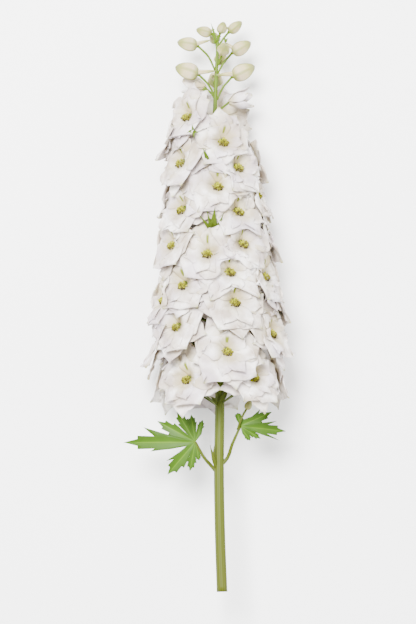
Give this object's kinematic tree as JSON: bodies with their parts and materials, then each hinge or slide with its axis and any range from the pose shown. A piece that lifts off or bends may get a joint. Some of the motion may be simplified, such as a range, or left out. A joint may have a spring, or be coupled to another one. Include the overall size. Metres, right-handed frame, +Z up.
{
  "type": "delphinium flower spike",
  "caption": "Cut flower spike lying on its side: double white florets with open faces, tip buds, stalked cut leaves and a bare lower stem.",
  "frame": {"origin": "middle of the bottom of the bounding box, on the surface that the spike lies on", "axes": "+Y along the stem from its cut end to the tip, +Z up, +X to the right of the face seen from above"},
  "size_m": [0.1654, 0.5706, 0.128],
  "materials": {
    "petal": "matt white petal with a faint lavender cast",
    "bud": "cream bud with yellow-green ribs",
    "leaf": "fresh green leaf, matt",
    "stem": "olive to lime green stem, satin"
  },
  "bodies": {
    "root": {"bud_back": "bud", "bud_back_low": "bud", "bud_back_top": "bud", "bud_centre": "bud", "bud_left": "bud", "bud_low_left": "bud", "bud_low_right": "bud", "bud_right": "bud", "bud_top": "bud", "bud_top_left": "bud", "bud_top_right": "bud", "floret_01": "petal", "floret_02": "petal", "floret_03": "petal", "floret_04": "petal", "floret_05": "petal", "floret_06": "petal", "floret_07": "petal", "floret_08": "petal", "floret_09": "petal", "floret_10": "petal", "floret_11": "petal", "floret_12": "petal", "floret_13": "petal", "floret_14": "petal", "floret_15": "petal", "floret_16": "petal", "floret_17": "petal", "floret_18": "petal", "floret_19": "petal", "floret_20": "petal", "floret_21": "petal", "floret_22": "petal", "floret_23": "petal", "floret_24": "petal", "floret_25": "petal", "floret_26": "petal", "floret_27": "petal", "floret_28": "petal", "floret_29": "petal", "floret_30": "petal", "floret_31": "petal", "floret_32": "petal", "floret_33": "petal", "floret_34": "petal", "floret_35": "petal", "floret_36": "petal", "floret_37": "petal", "floret_38": "petal", "floret_39": "petal", "floret_40": "petal", "floret_41": "petal", "floret_42": "petal", "half_open_left": "petal", "half_open_right": "petal", "leaf_left": "leaf", "leaf_right": "leaf", "side_shoot": "stem", "stem": "stem"}
  },
  "joints": []
}
